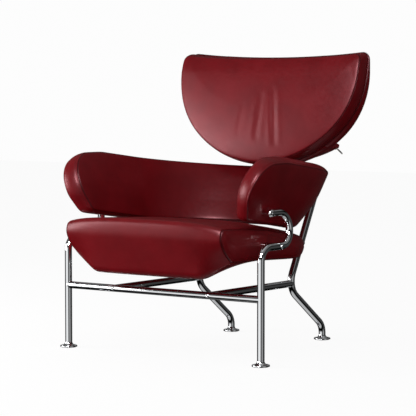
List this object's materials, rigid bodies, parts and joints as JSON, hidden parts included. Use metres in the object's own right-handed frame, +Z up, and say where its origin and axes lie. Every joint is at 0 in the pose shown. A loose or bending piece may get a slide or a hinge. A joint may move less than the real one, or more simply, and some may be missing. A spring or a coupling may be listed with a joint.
{
  "type": "leather lounge chair on a chromed tube frame",
  "caption": "Low lounge chair: wide seat, leaning wrap for arms and back, and a half-moon headrest, in leather on a bent chrome tube frame.",
  "frame": {"origin": "on the floor, under the middle of the chair's box", "axes": "+Z up, +X towards the sitter's left, -Y the way the sitter faces"},
  "size_m": [0.878, 0.8833, 1.0263],
  "materials": {
    "cover_leather": "smooth semi-gloss hide",
    "cushion_foam": "open-cell foam",
    "polished_chrome": "mirror polished plate",
    "bolt_steel": "polished",
    "glide_plastic": "moulded",
    "frame_wood": "sawn beech",
    "frame_steel": "black lacquer",
    "belt_webbing": "woven elastic",
    "zip_tape_cloth": "woven tape",
    "zip_chain_plastic": "moulded teeth",
    "zip_nickel": "nickel plated"
  },
  "bodies": {
    "chair": {"arm_ball_left": "polished_chrome", "arm_ball_right": "polished_chrome", "arm_studs": "polished_chrome", "back_bolts": "bolt_steel", "back_cover": "cover_leather", "back_foam": "cushion_foam", "back_hoop": "frame_steel", "foot_glides": "glide_plastic", "front_crossbar": "polished_chrome", "front_foot_left": "polished_chrome", "front_foot_right": "polished_chrome", "front_leg_left": "polished_chrome", "front_leg_right": "polished_chrome", "headrest_body_cover": "cover_leather", "headrest_body_foam": "cushion_foam", "headrest_cover": "cover_leather", "headrest_fins": "frame_steel", "headrest_foam": "cushion_foam", "headrest_plate": "frame_steel", "headrest_sleeves": "frame_steel", "rail_plugs": "bolt_steel", "rail_screws": "bolt_steel", "rear_foot_left": "polished_chrome", "rear_foot_right": "polished_chrome", "rear_leg_left": "polished_chrome", "rear_leg_right": "polished_chrome", "rear_spacers": "polished_chrome", "seat_belts": "belt_webbing", "seat_bolts": "bolt_steel", "seat_cover": "cover_leather", "seat_foam": "cushion_foam", "seat_pins": "polished_chrome", "seat_ring": "frame_wood", "side_rail_left": "polished_chrome", "side_rail_right": "polished_chrome", "zip_stops": "zip_nickel", "zip_tape": "zip_tape_cloth", "zip_teeth": "zip_chain_plastic"},
    "zip_slider": {"zip_slider": "zip_nickel", "pull_pin": "zip_nickel"},
    "zip_pull": {"zip_pull": "zip_nickel"}
  },
  "joints": [
    {"name": "zip_run", "type": "hinge", "parent": "chair", "child": "zip_slider", "pos_m": [0, 0.42, 1.169], "axis": [0, 1, 0], "range_deg": [0, 50.6]},
    {"name": "pull_hinge", "type": "hinge", "parent": "zip_slider", "child": "zip_pull", "pos_m": [0.22764, 0.42517, 0.68742], "axis": [0.3022, -0.7071, -0.6393], "range_deg": [-88, 88]}
  ]
}
